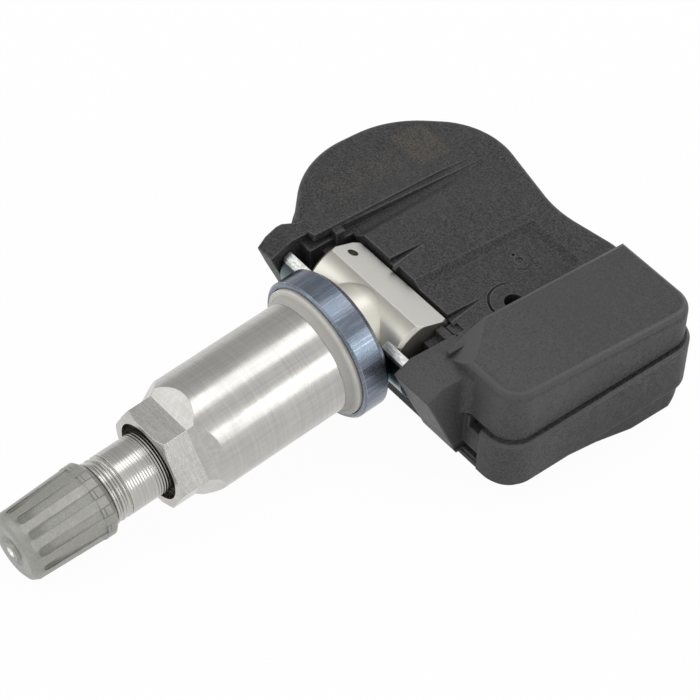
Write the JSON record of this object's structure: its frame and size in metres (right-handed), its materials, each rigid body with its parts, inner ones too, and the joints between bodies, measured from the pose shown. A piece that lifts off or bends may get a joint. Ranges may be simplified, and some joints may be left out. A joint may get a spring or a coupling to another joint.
{
  "type": "tyre pressure sensor",
  "caption": "Wheel pressure sensor: a dark plastic housing that swivels on the cross head of a metal clamp-in valve with washer, rim seal, sleeve nut and cap.",
  "frame": {"origin": "on the valve's axis, at the sleeve nut's wide end, where the wheel rim is clamped", "axes": "+X along the valve's cross head, the valve points along -Y and 4 degrees down, +Z out of the housing's lettered side"},
  "size_m": [0.0482, 0.0825, 0.022],
  "materials": {
    "stem": "satin turned",
    "washer": "blue-violet zinc plate with bright edges",
    "seal": "light grey matt",
    "sleeve": "satin turned, fine lines round",
    "cap": "warm grey, slightly glossy",
    "inner_rubber": "matt black",
    "core": "plain turned",
    "spring": "bright wire",
    "housing": "finely grained charcoal",
    "cover": "finely grained charcoal",
    "clip": "bright plated spring steel",
    "board": "green solder mask",
    "cell": "plain nickel",
    "contact": "plain nickel",
    "chip": "matt black",
    "ferrite": "dull fired grey",
    "copper": "plain copper"
  },
  "bodies": {
    "valve": {"valve_stem": "stem", "thrust_washer": "washer", "rim_seal": "seal", "core_body": "core", "core_seal_ring": "inner_rubber"},
    "nut": {"sleeve_nut": "sleeve"},
    "gasket": {"cap_seal": "inner_rubber"},
    "cap": {"valve_cap": "cap"},
    "pin": {"core_pin": "core", "core_cup_seal": "inner_rubber", "core_spring": "spring"},
    "housing": {"housing_shell": "housing", "base_cover": "cover", "retaining_clip": "clip", "circuit_board": "board", "battery_cell": "cell", "battery_contact_upper": "contact", "battery_contact_lower": "contact", "sensor_module": "chip", "port_seal": "inner_rubber", "radio_chip": "chip", "quartz_crystal": "contact", "coil_core": "ferrite", "coil_winding": "copper", "chip_capacitors": "ferrite", "antenna_bow": "copper"}
  },
  "joints": [
    {"name": "housing_swivel", "type": "hinge", "parent": "valve", "child": "housing", "pos_m": [0, 0.01077, 0.00075], "axis": [1, 0, 0], "range_deg": [-10, 8]},
    {"name": "nut_turn", "type": "hinge", "parent": "valve", "child": "nut", "pos_m": [0, 0, 0], "axis": [0, -0.9976, -0.0698], "continuous": true},
    {"name": "cap_travel", "type": "slide", "parent": "valve", "child": "gasket", "axis": [0, -0.9976, -0.0698], "range_m": [0, 0.0093]},
    {"name": "cap_turn", "type": "hinge", "parent": "gasket", "child": "cap", "pos_m": [0, 0, 0], "axis": [0, -0.9976, -0.0698], "range_deg": [0, 4200]},
    {"name": "core_pin_press", "type": "slide", "parent": "valve", "child": "pin", "axis": [0, 0.9976, 0.0698], "range_m": [0, 0.0012], "stiffness_N_per_m": 300, "springref_m": -0.003, "deforming": ["core_spring"]}
  ],
  "couplings": [
    {"joint": "cap_turn", "follows": "cap_travel", "rad_per_m": 7854}
  ]
}
